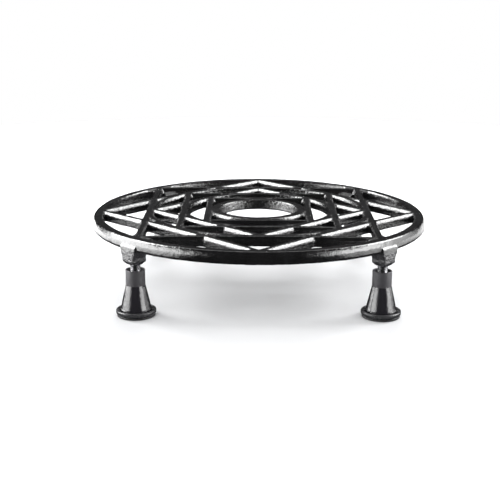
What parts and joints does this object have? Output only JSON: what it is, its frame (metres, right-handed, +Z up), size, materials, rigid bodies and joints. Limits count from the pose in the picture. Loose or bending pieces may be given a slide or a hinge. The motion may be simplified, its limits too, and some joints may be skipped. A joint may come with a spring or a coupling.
{
  "type": "trivet stand",
  "caption": "Round openwork cast-iron stand with nested rings, squares and diamonds, on screw-adjustable bell feet, to hold a hot tool or vessel off a bench.",
  "frame": {"origin": "on the bench surface, midway between the feet and under the middle of the plate", "axes": "+Z up, -Y towards the front, +X to the right seen from the front"},
  "size_m": [0.1998, 0.1998, 0.046],
  "materials": {
    "cast_enamel": "black semi-gloss enamel over a rough casting",
    "dark_nickel": "dark bright plating, satin on the collar",
    "bolt_steel": "plain zinc-plated screw thread",
    "nylon_core": "moulded black nylon",
    "base_plastic": "moulded dark grey plastic, semi-gloss",
    "sole_rubber": "matt black rubber"
  },
  "bodies": {
    "plate": {"grate_plate": "cast_enamel"},
    "front_left_base": {"front_left_foot_base": "base_plastic", "front_left_foot_sole": "sole_rubber"},
    "front_left_leg": {"front_left_foot_bell": "dark_nickel", "front_left_foot_core": "nylon_core", "front_left_levelling_bolt": "bolt_steel"},
    "front_right_base": {"front_right_foot_base": "base_plastic", "front_right_foot_sole": "sole_rubber"},
    "front_right_leg": {"front_right_foot_bell": "dark_nickel", "front_right_foot_core": "nylon_core", "front_right_levelling_bolt": "bolt_steel"},
    "back_left_base": {"back_left_foot_base": "base_plastic", "back_left_foot_sole": "sole_rubber"},
    "back_left_leg": {"back_left_foot_bell": "dark_nickel", "back_left_foot_core": "nylon_core", "back_left_levelling_bolt": "bolt_steel"},
    "back_right_base": {"back_right_foot_base": "base_plastic", "back_right_foot_sole": "sole_rubber"},
    "back_right_leg": {"back_right_foot_bell": "dark_nickel", "back_right_foot_core": "nylon_core", "back_right_levelling_bolt": "bolt_steel"}
  },
  "joints": [
    {"name": "front_left_lift", "type": "slide", "parent": "plate", "child": "front_left_base", "axis": [0, 0, 1], "range_m": [-0.006, 0.002]},
    {"name": "front_left_turn", "type": "hinge", "parent": "front_left_base", "child": "front_left_leg", "pos_m": [-0.0679, -0.0676, 0], "axis": [0, 0, 1], "range_deg": [-2160, 720]},
    {"name": "front_right_lift", "type": "slide", "parent": "plate", "child": "front_right_base", "axis": [0, 0, 1], "range_m": [-0.006, 0.002]},
    {"name": "front_right_turn", "type": "hinge", "parent": "front_right_base", "child": "front_right_leg", "pos_m": [0.0679, -0.0676, 0], "axis": [0, 0, 1], "range_deg": [-2160, 720]},
    {"name": "back_left_lift", "type": "slide", "parent": "plate", "child": "back_left_base", "axis": [0, 0, 1], "range_m": [-0.006, 0.002]},
    {"name": "back_left_turn", "type": "hinge", "parent": "back_left_base", "child": "back_left_leg", "pos_m": [-0.0642, 0.0712, 0], "axis": [0, 0, 1], "range_deg": [-2160, 720]},
    {"name": "back_right_lift", "type": "slide", "parent": "plate", "child": "back_right_base", "axis": [0, 0, 1], "range_m": [-0.006, 0.002]},
    {"name": "back_right_turn", "type": "hinge", "parent": "back_right_base", "child": "back_right_leg", "pos_m": [0.0642, 0.0712, 0], "axis": [0, 0, 1], "range_deg": [-2160, 720]}
  ],
  "couplings": [
    {"joint": "front_left_lift", "follows": "front_left_turn", "m_per_rad": 0.000159},
    {"joint": "front_right_lift", "follows": "front_right_turn", "m_per_rad": 0.000159},
    {"joint": "back_left_lift", "follows": "back_left_turn", "m_per_rad": 0.000159},
    {"joint": "back_right_lift", "follows": "back_right_turn", "m_per_rad": 0.000159}
  ]
}
